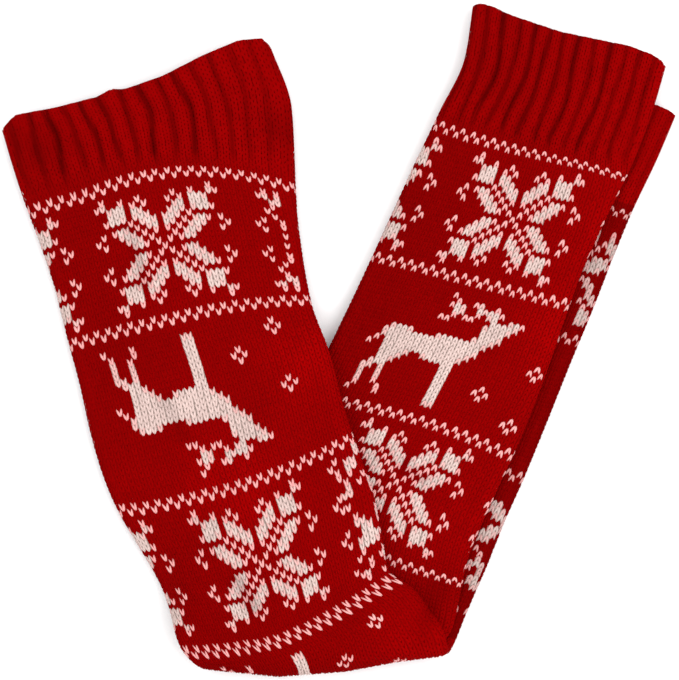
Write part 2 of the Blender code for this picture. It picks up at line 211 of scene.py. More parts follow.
def along(values, at):
    # smooth curve through rows of values with no overshoot: cubic pieces whose slopes at the rows
    # are the harmonic means of the steps on either side
    steps = np.diff(values, axis=0)
    before, after = steps[:-1], steps[1:]
    same = before * after > 0.0
    slopes = np.empty_like(values)
    slopes[0], slopes[-1] = steps[0], steps[-1]
    slopes[1:-1] = np.where(same, 2.0 * before * after / np.where(same, before + after, 1.0), 0.0)
    row = np.clip(np.floor(at).astype(int), 0, len(values) - 2)
    t = (at - row)[:, None]
    rise = ease(t)
    return (values[row] * (1.0 - rise) + values[row + 1] * rise
            + slopes[row] * t * (1.0 - t) ** 2 - slopes[row + 1] * t * t * (1.0 - t))


def atHeight(edge, y):
    # x of an edge at each y, carried on straight below its end
    start = (edge[1] - edge[0]) / (edge[1, 0] - edge[0, 0])
    return np.interp(y, edge[:, 0], edge[:, 1]) + np.minimum(y - edge[0, 0], 0.0) * start[1]


pileEdge = np.array([(r[1], r[0]) for r in reversed(innerRight)])
topLeftEdge = np.array([(r[1], r[0]) for r in outerLeft])
topRightEdge = np.array([(r[3], r[2]) for r in outerLeft])


def toLine(x, y, x1, y1, x2, y2):
    # distance to the nearest place on the line between two points
    dx, dy = x2 - x1, y2 - y1
    t = np.clip(((x - x1) * dx + (y - y1) * dy) / max(dx * dx + dy * dy, 0.001), 0.0, 1.0)
    return np.hypot(x - x1 - t * dx, y - y1 - t * dy)


def swell(x, y):
    # share of the pile's height at a place in plan: one soft bell-shaped ridge or trough along
    # each fold's line, and less at the left leg's side edges
    share = np.zeros_like(x)
    for x1, y1, x2, y2, width, rise in softFolds:
        share += rise * np.exp(-((toLine(x, y, x1, y1, x2, y2) / width) ** 2))
    fromLeft = (x - atHeight(topLeftEdge, y)) / lay["edgeSinkWidth"]
    fromRight = (x - atHeight(topRightEdge, y)) / lay["edgeSinkWidth"]
    leftEase = ease((y - lay["creaseY"]) / lay["leftSinkEase"])
    rightEase = ease((y - lay["rightSinkFrom"]) / lay["rightSinkEase"])
    share -= lay["edgeSink"] * leftEase * np.exp(-(fromLeft**2))
    share -= lay["edgeSink"] * rightEase * np.exp(-(fromRight**2))
    return 1.0 + share


class Sock:
    # the path of one sock, and the courses and columns of stitches on it

    def __init__(self, right, left, arcLeft, arcRight, under, courses, face, mouths, drift, pulledFlat):
        # The path is measured from the crease: positive down the right leg, then half a turn round a
        # circle, and up the left leg. arcLeft and arcRight are x of its edges half way round. The
        # sock that is under on the right leg is the outer one round the crease.
        gap, tube = lay["layerGap"], lay["tube"]
        self.under = under
        self.side = 1.0 if under else -1.0  # the side of the tube with the picture's stitches
        self.radius = lay["axisHeight"] - (0.5 if under else 1.5) * tube - (0.0 if under else gap)
        self.halfTurn = math.pi * self.radius
        rows = [(a, b - lay["creaseY"], c, d - lay["creaseY"]) for a, b, c, d in right]
        rows.append((arcLeft, -0.5 * self.halfTurn, arcRight, -0.5 * self.halfTurn))
        rows += [(a, lay["creaseY"] - b - self.halfTurn, c, lay["creaseY"] - d - self.halfTurn)
                 for a, b, c, d in left]
        dense = along(np.array(rows), np.linspace(0.0, len(rows) - 1.0, lay["pathSteps"]))[::-1]
        self.leftEdge, self.rightEdge = dense[:, [1, 0]], dense[:, [3, 2]]
        table = np.array(courses, dtype=float)
        self.courses = along(table, np.linspace(0.0, len(table) - 1.0, lay["courseSteps"]))
        self.face = np.array(face, dtype=float)
        self.mouths = [np.array(m).T for m in mouths]
        self.drift = np.array(drift)
        self.pulledFlat = pulledFlat

    def faceCount(self, v):
        # columns on the pictured face at a course, even between the table's rows
        return np.interp(v, self.face[:, 0], self.face[:, 1])

    def across(self, u, v):
        # share of the way from the left edge to the right one: columns from the left edge over the
        # face's count, or on the back over the back's count
        u, count = np.mod(u, knit["around"]), self.faceCount(v)
        return np.where(u <= count, u / count, (knit["around"] - u) / (knit["around"] - count))

    def fromSides(self, u, v):
        # columns between a stitch and the nearer side edge of the tube
        u = np.mod(u, knit["around"])
        return np.minimum(np.minimum(u, knit["around"] - u), np.abs(u - self.faceCount(v)))

    def strayed(self, share, v, first):
        # the drift table's value at a share of the way across and a course, even in between; first
        # is the table's column for the left edge
        rows = np.stack([np.interp(v, self.drift[:, 0], self.drift[:, first + k]) for k in range(driftSteps)])
        place = share * (driftSteps - 1.0)
        k = np.minimum(place.astype(int), driftSteps - 2)
        at = np.arange(len(v))
        return rows[k, at] * (1.0 - place + k) + rows[k + 1, at] * (place - k)

    def mouthRise(self, share, v):
        # how far a cuff's courses follow the form of its mouth: wholly there, and not at the seam
        narrow, wide = knit["narrowSeam"], knit["wideSeam"]
        byNarrow = np.clip(1.0 - v / narrow, 0.0, 1.0)
        byWide = np.clip((v - wide) / (knit["courses"] - wide), 0.0, 1.0)
        return np.interp(share, *self.mouths[0]) * byNarrow - np.interp(share, *self.mouths[1]) * byWide

    def points(self, u, v, inset):
        # u counts stitches round the tube from the left edge over the pictured face, v counts
        # courses. A point lies on the line between the two edges at its course, bowed by a
        # parabola, at the share of the tube's half girth that u gives, on an outline with
        # quarter-ellipse sides, moved in by inset.
        u = np.mod(u, knit["around"])
        across = self.across(u, v)
        u, v = u + self.strayed(across, v, 1), v + self.strayed(across, v, 1 + driftSteps)
        table = self.courses
        leftS, rightS, bow = (np.interp(v, table[:, 0], table[:, k]) for k in (1, 2, 3))
        leftX = np.interp(leftS, self.leftEdge[:, 0], self.leftEdge[:, 1])
        rightX = np.interp(rightS, self.rightEdge[:, 0], self.rightEdge[:, 1])
        width = np.hypot(rightX - leftX, rightS - leftS)
        rounding = lay["rounding"]
        quarter = 0.5 * math.pi * math.hypot(rounding, 0.5 * lay["tube"]) / math.sqrt(2.0)
        half = 2.0 * quarter + width - 2.0 * rounding
        way = half * self.across(u, v)
        leftTurn = np.clip(way / quarter, 0.0, 1.0) * math.pi / 2.0
        rightTurn = np.clip((way - half + quarter) / quarter, 0.0, 1.0) * math.pi / 2.0
        flat = np.clip((way - quarter) / (half - 2.0 * quarter), 0.0, 1.0)
        turn = leftTurn + rightTurn
        out = np.cos(turn) * (rounding - inset)
        share = (rounding + (width - 2.0 * rounding) * flat - out) / width
        onFace = np.mod(u, knit["around"]) <= self.faceCount(v)
        level = np.sin(turn) * np.where(onFace, self.side, -self.side)
        x = leftX + (rightX - leftX) * share
        s = leftS + (rightS - leftS) * share + 4.0 * bow * share * (1.0 - share) + self.mouthRise(share, v)
        return self.place(x, s, level, inset)

    def place(self, x, s, level, inset):
        # flat on the right leg, round the crease on a circle, flat on the left leg and down
        # beside the pile, then bent along the crease and swollen by the folds
        turn = np.clip(-s / self.radius, 0.0, math.pi)
        onRight, onLeft = s > 0.0, s < -self.halfTurn
        upLeg = np.where(onRight, s, np.where(onLeft, -s - self.halfTurn, 0.0))
        flatY = lay["creaseY"] + upLeg
        mouthFrom = np.where(onRight, lay["rightMouthFrom"], lay["leftMouthFrom"])
        half = 0.5 * (lay["tube"] + lay["mouthOpening"] * ease((flatY - mouthFrom) / lay["mouthEase"]))
        lift = level * (half - inset)
        gap = lay["layerGap"]
        rightMiddle = half if self.under else 3.0 * half + gap
        leftMiddle = 3.0 * half + gap if self.under else half
        beside = (atHeight(pileEdge, flatY) - x) * lay["legCosine"] / lay["dropLength"]
        dropped = ease(beside) * ease(upLeg / lay["dropFrom"])
        base = 2.0 * lay["axisHeight"] - 2.0 * lay["tube"] - gap
        settled = lay["settle"] * ease(upLeg / lay["settleLength"])
        base = base - settled - (base - lay["settle"]) * dropped
        if self.under:
            leftMiddle = leftMiddle + 2.0 * lay["loose"] * np.sqrt(dropped * (1.0 - dropped))
        reach = self.radius + lift
        y = np.where(onRight | onLeft, flatY, lay["creaseY"] - reach * np.sin(turn))
        z = np.where(onRight, rightMiddle - lift, lay["axisHeight"] - reach * np.cos(turn))
        z = np.where(onLeft, base + leftMiddle + lift, z)
        bend = np.interp(x, lay["bendX"], lay["bendY"])
        y = y + bend * (1.0 - ease((y - lay["creaseY"]) / lay["bendFade"]))
        z = z * swell(x, y)
        return np.stack([x - lay["centre"][0], y - lay["centre"][1], z], axis=-1) * 0.001


outer = Sock(right=outerRight, left=outerLeft, arcLeft=-70.5, arcRight=55.0, under=True,
             courses=outerCourses, face=outerFace, mouths=(outerNarrowMouth, outerWideMouth),
             drift=outerDrift, pulledFlat=0.5)
inner = Sock(right=innerRight, left=innerLeft, arcLeft=-72.0, arcRight=52.0, under=False,
             courses=innerCourses, face=innerFace, mouths=(innerNarrowMouth, innerWideMouth),
             drift=innerDrift, pulledFlat=0.2)
print("stage: lay")


def inCuffs(v):
    # 1 in the cuffs and 0 in the leg, eased over a few courses by each seam
    (narrowFrom, narrowLength), (wideFrom, wideLength) = knit["narrowFade"], knit["wideFade"]
    narrow = 1.0 - ease((v - knit["narrowSeam"] - narrowFrom) / narrowLength)
    return np.maximum(narrow, ease((v - knit["wideSeam"] - wideFrom) / wideLength))


def ribValley(sock, u, v):
    # 1 along the middle of every third column in the cuffs, a narrow bell on a wide one. Sine waves
    # move it a little sideways and change its depth. It is shallow at the side edges and pulled
    # flat towards the right.
    waver = sum(share * np.sin(v * byCourse + u * byColumn) for byCourse, byColumn, share in ribs["waves"])
    off = np.abs(np.mod(u + ribs["waver"] * waver, ribs["every"]) - 0.5 * ribs["every"])
    bell = sum(share * np.exp(-((off / width) ** 2)) for share, width in ribs["bells"])
    deep = ribs["mean"] + ribs["uneven"] * np.sin(u * ribs["unevenTurn"] + 1.0)
    flat = 1.0 - sock.pulledFlat * ease((sock.across(u, v) - ribs["flatFrom"]) / ribs["flatEase"])
    return bell * inCuffs(v) * deep * flat * ease(sock.fromSides(u, v) / ribs["sideFade"])


# Charts of the knitted pattern, one mark a stitch, top row nearest the narrow cuff. The star's chart
# is the quarter from its middle, the bottom left mark, to its top right corner.
deerChart = [
    "...........#.............",
    "............#..##..#.....",
    "...........###..#####....",
    "............##..#.##..###",
    "............#.##...#####.",
    "..........##......#####..",
    "..................####...",
    "..................####...",
    ".................####....",
    "...####....#########.....",
    "..#################......",
    "..#################......",
    ".#.###############.......",
    "#..##############........",
    "...#####..######.........",
    "...####.......##.........",
    "...###........##.........",
    "..###.........##.........",
    ".##.#.........##.........",
    ".#..#.........##.........",
    ".#..#.........##.........",
    ".#..#.........##.........",
    ".#...#........##.........",
    "#....#........##.........",
]
starQuarter = [
    ".........#..",
    "...#..#..##.",
    "..#.#.###...",
    "...##.###...",
    "..###.####..",
    ".###.#......",
    ".##.#.###.#.",
    ".#.#.###...#",
    "..#.###...#.",
    ".#.###......",
    "#...........",
]
# The outer sock's pattern is cut at its side, where a round of knitting ends: six columns of the
# face beside each star, the bottom row level with the star's middle.
sideQuarter = [
    "..#.#.",
    ".##.#.",
    "...##.",
    "...#..",
    "..#...",
    "...#..",
    ".#..#.",
    "#...#.",
    ".#....",
    "....#.",
    "......",
]
# Six columns of it where the side is turned up beside the lower star
lowerSide = [
    ".#..#.", "##....", "..#..#", "..#.##", "#....#", ".#....", ".####.", ".#####",
    "..##..", "..##.#", ".##..#", ".#...#", "......", "#.....", ".....#", "##...#",
    ".#.#.#", ".#..#.", "#.#...", "#.##..", "..##..", "#...##", "....##",
]
# The two strips of the outer sock that show beside the inner one
upperStrip = [
    ".....#.", "..#..#.", "..#..#.", ".###.#.", "###.#..", "##...#.", "..###..",
    ".#####.", "...###.", ".......", "....##.", "...##..", "...#...", "..##...",
    ".##.#..", "...#...", "..##...", ".###...", "..##...",
]
lowerStrip = [
    "...###.", "..###..", ".###...", ".#.....", ".###...", "..####.", "...##..",
    ".......", "....#..", "...#...", "...#...", "..###..", "..#.#..", "..#....",
    "..##...", ".###...", ".##....",
]
cluster = [".#.", "#.#", ".#."]
motifs = {
    "lines": (29, 54, 84, 110, 140, 166, 196, 221),  # courses
    "stars": ((20, 41), (21, 96), (21, 153), (20, 208)),  # column and course of the middle
    "starRepeat": 27,  # columns
    "deer": ((5, 57), (5, 113), (5, 169)),  # column and course of the chart's top left mark
    "deerRepeat": 42,
    "clusters": ((21, 17), (28, 21), (28, 10)),  # from the deer's top left mark
    "sideColumn": 36,  # of the side quarter, which the bare columns follow
    "bareColumns": (42, 56),
    "lowerSide": (38, 142),
    "strips": ((42, 32), (42, 89)),
    "stripBare": (10, 2, 21),  # columns, and courses before and after the strip's first one
}


def marks(chart):
    # True for each mark, rows first
    return np.array([[c == "#" for c in row] for row in chart])


def mirrored(quarter):
    # a whole star from its quarter: each row backwards and on, then the rows backwards
    half = [row[:0:-1] + row for row in quarter]
    return half + half[-2::-1]


def addMarks(white, chart, column, course):
    # turns white the stitches that a chart marks, counted round the tube from a column and a course
    rows, columns = np.nonzero(marks(chart))
    white[(column + columns) % knit["around"], course + rows] = True


def setMarks(white, chart, column, course):
    # knits a whole block of columns and courses as a chart says
    block = marks(chart).T
    white[column:column + block.shape[0], course:course + block.shape[1]] = block


def pattern(cutSide):
    # True where a stitch is white, for all columns (first index) and courses of one sock. A line is
    # every other column of one course and the columns between of the next one.
    white = np.zeros((knit["around"], knit["courses"]), dtype=bool)
    for line in motifs["lines"]:
        white[0::2, line - 1] = True
        white[1::2, line] = True
    star, reach = mirrored(starQuarter), len(starQuarter) - 1
    for column, course in motifs["stars"]:
        for repeat in (-motifs["starRepeat"], 0, motifs["starRepeat"]):
            addMarks(white, star, column + repeat - len(starQuarter[0]) + 1, course - reach)
        if cutSide and course > knit["outerFold"]:
            setMarks(white, sideQuarter + sideQuarter[-2::-1], motifs["sideColumn"], course - reach)
            white[slice(*motifs["bareColumns"]), course - reach:course + reach + 1] = False
    if cutSide:
        width, before, after = motifs["stripBare"]
        for chart, (column, course) in zip((upperStrip, lowerStrip), motifs["strips"]):
            white[column:column + width, course - before:course + after] = False
            setMarks(white, chart, column, course)
        setMarks(white, lowerSide, *motifs["lowerSide"])
    for column, course in motifs["deer"]:
        for repeat in (0, motifs["deerRepeat"]):
            addMarks(white, deerChart, column + repeat, course)
            for right, down in motifs["clusters"]:
                addMarks(white, cluster, column + repeat + right, course + down)
    return white


print("stage: charts")
outerWhite = pattern(True)
innerWhite = pattern(False)


# One knit stitch, in columns and courses: two straight loops that meet low down and lean apart
stitch = {
    "stations": (0.0, 0.22, 0.52, 0.82, 1.0),  # shares of a loop's length
    "halfWidths": (0.0, 0.18, 0.20, 0.16, 0.0),
    "crests": (0.5, 0.97, 1.0, 0.66, 0.1),
    "edge": 0.4,
    "reach": (-0.42, 1.04),  # from a stitch's course, at the loop's two ends
    "spread": (0.07, 0.375),  # from the stitch's middle, at the loop's two ends
    "depth": 0.85,  # millimetres
    "cuffSmooth": 0.92,
    "jitter": 0.035,
    "widthVaries": 0.05,
    "lengthVaries": 0.035,
    "leanVaries": 0.03,
    "crestVaries": 0.05,
    "lowestCrest": 0.85,
    "pastMouth": 0.25,  # courses that a stitch's form may run on past a mouth
    "fullWider": 0.08,
    "fullLonger": 0.09,
    "seamShorter": 0.14,  # in the line of V's by the narrow cuff
    "scale": {"Red": 1.0, "White": 0.98},
}


def stitchForm():
    # du, dv and height of the points of both loops, and their faces. Each loop is a tip, three
    # rows of left edge, crest and right edge, and a tip, along a straight line.
    points, faces, alongLoop, acrossLoop = [], [], [], []
    (inside, outside), (low, high) = stitch["spread"], stitch["reach"]
    for side in (-1.0, 1.0):
        tip = len(points)
        for t, w, crest in zip(stitch["stations"], stitch["halfWidths"], stitch["crests"]):
            centre = 0.5 + side * (inside + (outside - inside) * t)
            dv = low + (high - low) * t
            edge = stitch["edge"] * crest
            row = [(0.0, crest)] if w == 0.0 else [(-1.0, edge), (0.0, crest), (1.0, edge)]
            for a, height in row:
                points.append((centre + a * w, dv, height))
                alongLoop.append(t)
                acrossLoop.append(a)
        faces += [(tip, tip + 2, tip + 1), (tip, tip + 3, tip + 2)]
        for b in (tip + 1, tip + 4):
            faces += [(b, b + 1, b + 4, b + 3), (b + 1, b + 2, b + 5, b + 4)]
        b = tip + 7
        faces += [(b, b + 1, b + 3), (b + 1, b + 2, b + 3)]
    return np.array(points), faces, np.array(alongLoop), np.array(acrossLoop)


loopPoints, loopFaces, loopAlong, loopAcross = stitchForm()


def stitchMesh(name, sock, columns, courses, scale, full, paintedShade, crowd):
    # all stitches of one piece as one mesh. Each is the form above, shifted, scaled and turned a
    # little at random, wider and longer where it is full, and laid on the tube by Sock.points
    n, size = len(columns), len(loopPoints)
    u0, v0 = columns.astype(float), courses.astype(float)
    bySeam = (courses == motifs["lines"][0]) | (courses == motifs["lines"][0] - 1)
    wide = scale * (1.0 + stitch["fullWider"] * full + rng.normal(0.0, stitch["widthVaries"], n))
    tall = (1.0 + stitch["fullLonger"] * full - stitch["seamShorter"] * bySeam
            + rng.normal(0.0, stitch["lengthVaries"], n))
    lean = rng.normal(0.0, stitch["leanVaries"], n)
    shiftU, shiftV = rng.normal(0.0, stitch["jitter"], n), rng.normal(0.0, stitch["jitter"], n)
    height = np.clip(1.0 + rng.normal(0.0, stitch["crestVaries"], n), stitch["lowestCrest"], 1.0)
    du = (loopPoints[:, 0] - 0.5)[None, :] * wide[:, None] + 0.5 + shiftU[:, None]
    dv = loopPoints[:, 1][None, :] * tall[:, None] + shiftV[:, None]
    du = du + lean[:, None] * (dv - 0.5)
    u = (u0[:, None] + du).ravel()
    v = np.clip(v0[:, None] + dv, -stitch["pastMouth"], knit["courses"] + stitch["pastMouth"]).ravel()
    h = (height[:, None] * loopPoints[:, 2][None, :]).ravel()
    h = 1.0 - (1.0 - h) * (1.0 - stitch["cuffSmooth"] * inCuffs(v))
    valley = ribValley(sock, u, v)
    inset = stitch["depth"] * (1.0 - h) + ribs["depth"] * valley
    places = sock.points(u, np.clip(v, 0.0, knit["courses"]), inset)

    starts = (np.arange(n) * size)[:, None]
    loops = np.concatenate([starts + np.array(face)[None, :] for face in loopFaces], axis=1).ravel()
    faceSizes = np.tile([len(face) for face in loopFaces], n)
    me = bpy.data.meshes.new(name)
    me.vertices.add(n * size)
    me.vertices.foreach_set("co", places.ravel().astype(np.float32))
    me.loops.add(len(loops))
    me.loops.foreach_set("vertex_index", loops.astype(np.int32))
    me.polygons.add(len(faceSizes))
    me.polygons.foreach_set("loop_start", (np.cumsum(faceSizes) - faceSizes).astype(np.int32))
    me.polygons.foreach_set("use_smooth", np.ones(len(faceSizes), dtype=bool))
    me.update(calc_edges=True)

    tone = np.repeat(rng.normal(0.0, 1.0, n), size)
    write(me, "tone", np.clip(tone, -2.0, 2.0))
    write(me, "lift", h)
    # painted light and shade of the lay, darker still along the rib valleys
    write(me, "paintedShade", paintedShade(places * 1000.0, u, v) * (1.0 - ribs["paintedShade"] * valley))
    write(me, "crowd", np.repeat(crowd, size))
    alongYarn = np.tile(loopAlong, n) + np.repeat(rng.random(n), size)
    pair = np.stack([np.tile(loopAcross, n), alongYarn], axis=-1)
    me.uv_layers.new(name="yarn").data.foreach_set("uv", pair[loops].ravel().astype(np.float32))
    ob = bpy.data.objects.new(name, me)
    scene.collection.objects.link(ob)
    return ob


def write(me, name, values, domain="POINT"):
    # one number a point or a face, for the materials to read
    layer = me.attributes.new(name, "FLOAT", domain)
    layer.data.foreach_set("value", np.asarray(values, dtype=np.float32))


def crowding(white):
    # share of a stitch's four neighbours that are of its own colour
    same = [np.roll(white, step, axis) == white for axis in (0, 1) for step in (1, -1)]
    return np.mean(same, axis=0)


def groundMesh(name, sock, white):
    # the thin tube under the stitches: a grid with one face a stitch, closed round, with the ribs
    # of the cuffs, then given its thickness inwards. Faces amid white stitches are marked.
    around, courses = knit["around"], knit["courses"]
    uu, vv = np.meshgrid(np.arange(around, dtype=float), np.arange(courses + 1.0))
    uu, vv = uu.ravel(), vv.ravel()
    valley = ribValley(sock, uu, vv)
    places = sock.points(uu, vv, knit["groundInset"] + ribs["depth"] * valley)
    a = np.arange(courses)[:, None] * around + np.arange(around)[None, :]
    b = np.arange(courses)[:, None] * around + (np.arange(around) + 1)[None, :] % around
    quads = np.stack([a, b, b + around, a + around], axis=-1).reshape(-1, 4)
    if not outwards(places, quads):
        quads = quads[:, ::-1]
    me = bpy.data.meshes.new(name)
    me.from_pydata(places.tolist(), [], quads.tolist())
    me.polygons.foreach_set("use_smooth", np.ones(len(quads), dtype=bool))
    twoAlike = 0.4  # share of the neighbours
    write(me, "amid", (white & (crowding(white) > twoAlike)).T.ravel(), "FACE")
    write(me, "valley", valley)
    write(me, "cuff", inCuffs(vv))
    uv = me.uv_layers.new(name="knitGrid")
    loopVerts = np.empty(len(me.loops), dtype=np.int32)
    me.loops.foreach_get("vertex_index", loopVerts)
    uCorner = (loopVerts % around).astype(float)
    quadOf = np.repeat(np.arange(len(quads)), 4)
    wraps = (quadOf % around == around - 1) & (uCorner == 0.0)
    pair = np.stack([np.where(wraps, float(around), uCorner), loopVerts // around], axis=-1)
    uv.data.foreach_set("uv", pair.ravel().astype(np.float32))
    ob = bpy.data.objects.new(name, me)
    scene.collection.objects.link(ob)
    thick = ob.modifiers.new("thickness", "SOLIDIFY")
    thick.thickness = knit["groundThickness"] * 0.001
    thick.offset = -1.0
    return ob


def outwards(places, quads):
    # whether the faces' normals point away from the tube's own middle line, on the whole
    p = places[quads]
    normal = np.cross(p[:, 1] - p[:, 0], p[:, 3] - p[:, 0])
    centre = p.mean(axis=1)
    ring = centre.reshape(-1, knit["around"], 3)
    middle = np.repeat(ring.mean(axis=1, keepdims=True), knit["around"], axis=1).reshape(-1, 3)
    return np.einsum("ij,ij->i", normal, centre - middle).sum() > 0.0


class Wire:
    # a socket or number that takes + - * and gives a Math node's output

    def __init__(self, tree, value):
        self.tree, self.value = tree, value

    def maths(self, operation, *others):
        # one Math node on this value and the others
        values = [self.value] + [o.value if isinstance(o, Wire) else o for o in others]
        return Wire(self.tree, addNode(self.tree, "ShaderNodeMath", {"operation": operation},
                                       dict(enumerate(values))).outputs[0])

    def clamped(self):
        # kept between 0 and 1
        return self.maths("MAXIMUM", 0.0).maths("MINIMUM", 1.0)

    def __add__(self, other):
        return self.maths("ADD", other)

    def __sub__(self, other):
        return self.maths("SUBTRACT", other)

    def __rsub__(self, other):
        return Wire(self.tree, other).maths("SUBTRACT", self)

    def __mul__(self, other):
        return self.maths("MULTIPLY", other)

    __radd__ = __add__
    __rmul__ = __mul__


def addNode(tree, kind, settings=None, inputs=None):
    # a node of a kind: settings go on the node first, inputs are values or links for its sockets
    node = tree.nodes.new(kind)
    for key, value in (settings or {}).items():
        setattr(node, key, value)
    for key, value in (inputs or {}).items():
        value = value.value if isinstance(value, Wire) else value
        if isinstance(value, bpy.types.NodeSocket):
            tree.links.new(value, node.inputs[key])
        else:
            node.inputs[key].default_value = value
    return node


def mixColour(tree, factor, first, second):
    # the first colour at 0 and the second at 1
    return addNode(tree, "ShaderNodeMix", {"data_type": "RGBA"},
                   {"Factor": factor, 6: first, 7: second}).outputs[2]


def attribute(tree, name):
    # a number that write() put on the mesh
    return Wire(tree, addNode(tree, "ShaderNodeAttribute", {"attribute_name": name}).outputs["Fac"])


def uvPair(tree, name):
    # the two coordinates of the piece's own UV map
    uv = addNode(tree, "ShaderNodeUVMap", {"uv_map": name}).outputs["UV"]
    split = addNode(tree, "ShaderNodeSeparateXYZ", None, {"Vector": uv})
    return Wire(tree, split.outputs[0]), Wire(tree, split.outputs[1])


def noise(tree, scale, detail, roughness):
    # soft cloudy noise in the piece's own space
    place = addNode(tree, "ShaderNodeTexCoord").outputs["Object"]
    return Wire(tree, addNode(tree, "ShaderNodeTexNoise", {"noise_dimensions": "3D"},
                              {"Vector": place, "Scale": scale, "Detail": detail,
                               "Roughness": roughness}).outputs["Fac"])


def newCloth(name, look):
    # a material with what is the same all over it set on the shader
    mat = bpy.data.materials.new(name)
    mat.use_nodes = True
    shader = mat.node_tree.nodes["Principled BSDF"]
    shader.inputs["Specular IOR Level"].default_value = look["specular"]
    shader.inputs["Sheen Weight"].default_value = look["sheen"]
    shader.inputs["Sheen Roughness"].default_value = look["sheenRoughness"]
    shader.inputs["Sheen Tint"].default_value = look["sheenTint"]
    return mat, mat.node_tree, shader


def linkCloth(tree, shader, look, base, rough, height):
    # what varies over it: colour, roughness, and a bump from the height
    bump = addNode(tree, "ShaderNodeBump", None,
                   {"Strength": look["bump"], "Distance": look["bumpDepth"], "Height": height})
    for socket, value in (("Base Color", base), ("Roughness", rough.value), ("Normal", bump.outputs[0])):
        tree.links.new(value, shader.inputs[socket])


def yarnMaterial(name, look):
    # matt spun yarn: plies run aslant along each loop, fine fibres on top, colour a little
    # different from stitch to stitch, painted shade low down between the loops, and the lay's painted
    # light and shade
    mat, tree, shader = newCloth(name, look)
    across, alongYarn = uvPair(tree, "yarn")
    ply = (alongYarn * look["plies"] + across * look["twist"]).maths("MULTIPLY", 2.0 * math.pi).maths("SINE")
    fibre = noise(tree, look["fibreScale"], 3.0, 0.65)
    cloud = noise(tree, look["cloudScale"], 2.0, 0.5)
    tone, lift, paintedShade, crowd = (attribute(tree, n) for n in ("tone", "lift", "paintedShade", "crowd"))
    light = (tone * look["toneRange"] + (cloud - 0.5) * look["cloudTone"] + (fibre - 0.5) * look["fibreTone"]
             + ply * look["plyTone"] + 0.5).clamped()
    amid = ((crowd - 0.25) * 2.0).clamped()
    dark, bright, lowest = (mixColour(tree, amid, *look[key]) for key in ("dark", "bright", "low"))
    base = mixColour(tree, light, dark, bright)
    # painted shade: darker low down between the loops, and pink on a lone white stitch
    low = (1.0 - lift).maths("MAXIMUM", 0.0).maths("POWER", look["lowPower"]) * look["lowShare"]
    base = mixColour(tree, low, base, lowest)
    # painted light and shade of the lay: the colour is darkened towards black point by point
    black = (0.0, 0.0, 0.0, 1.0)
    base = mixColour(tree, (paintedShade * look["paintedShadeScale"]).clamped(), black, base)
    rough = fibre * look["roughnessVaries"] + look["roughness"]
    linkCloth(tree, shader, look, base, rough, fibre * look["fibreBump"] + ply * look["plyBump"])
    return mat


def groundMaterial(name, look):
    # the knit seen between and behind the stitches: V-shaped loops worked out from the piece's
    # own grid of columns and courses, plump across a column and along a course, with painted shade
    # between the loops and along the rib valleys
    mat, tree, shader = newCloth(name, look)
    column, course = uvPair(tree, "knitGrid")
    side = (column.maths("FRACT") - 0.5).maths("ABSOLUTE") * 2.0
    plump = (side * math.pi).maths("SINE").maths("MAXIMUM", 0.0).maths("POWER", look["plumpAcross"])
    slant = (course - side * look["slant"]).maths("FRACT")
    full = (slant * math.pi).maths("SINE").maths("MAXIMUM", 0.0).maths("POWER", look["plumpAlong"])
    loop = plump * full
    fibre = noise(tree, look["fibreScale"], 3.0, 0.65)
    # painted shade: darker between the plump loops
    light = (loop * look["loopTone"] + fibre * look["fibreTone"]).clamped()
    base = mixColour(tree, light, look["dark"], look["bright"])
    base = mixColour(tree, attribute(tree, "cuff"), base, look["cuff"])
    # painted shade, nearly black along the rib valleys
    base = mixColour(tree, attribute(tree, "valley") * look["valleyShare"], base, look["valley"])
    # amid white stitches: white yarn darkened to grey-brown, painted shade in the holes
    base = mixColour(tree, attribute(tree, "amid"), base, look["amid"])
    rough = fibre * look["roughnessVaries"] + look["roughness"]
    linkCloth(tree, shader, look, base, rough, loop + fibre * look["fibreBump"])
    return mat


# Dark, bright and low are pairs: the colour of a lone stitch, and of one amid its own colour. Low is
# painted shade low down between the loops.
redLook = {
    "dark": 2 * [(0.27, 0.0001, 0.0003, 1.0)],
    "bright": 2 * [(0.42, 0.0003, 0.0006, 1.0)],
    "low": 2 * [(0.26, 0.0001, 0.0002, 1.0)],
    "lowPower": 1.2, "lowShare": 0.35, "paintedShadeScale": 1.0,
    "toneRange": 0.06, "plyTone": 0.05, "cloudTone": 0.5, "fibreTone": 0.55,
    "plies": 3.0, "twist": 0.9, "fibreScale": 2600.0, "cloudScale": 28.0,
    "roughness": 0.84, "roughnessVaries": 0.12,
    "bump": 0.55, "bumpDepth": 0.00025, "fibreBump": 0.9, "plyBump": 0.35,
    "specular": 0.01, "sheen": 0.01, "sheenRoughness": 0.6, "sheenTint": (0.5, 0.0, 0.0, 1.0),
}
whiteLook = {
    **redLook,
    "dark": [(0.76, 0.34, 0.33, 1.0), (0.60, 0.43, 0.40, 1.0)],
    "bright": [(0.95, 0.52, 0.50, 1.0), (0.88, 0.68, 0.63, 1.0)],
    "low": [(0.46, 0.09, 0.08, 1.0), (0.27, 0.20, 0.17, 1.0)],
    "lowPower": 1.0, "lowShare": 0.85, "paintedShadeScale": 1.6,
    "toneRange": 0.08, "plyTone": 0.08,
    "specular": 0.08, "sheen": 0.06, "sheenTint": (1.0, 0.9, 0.88, 1.0),
}
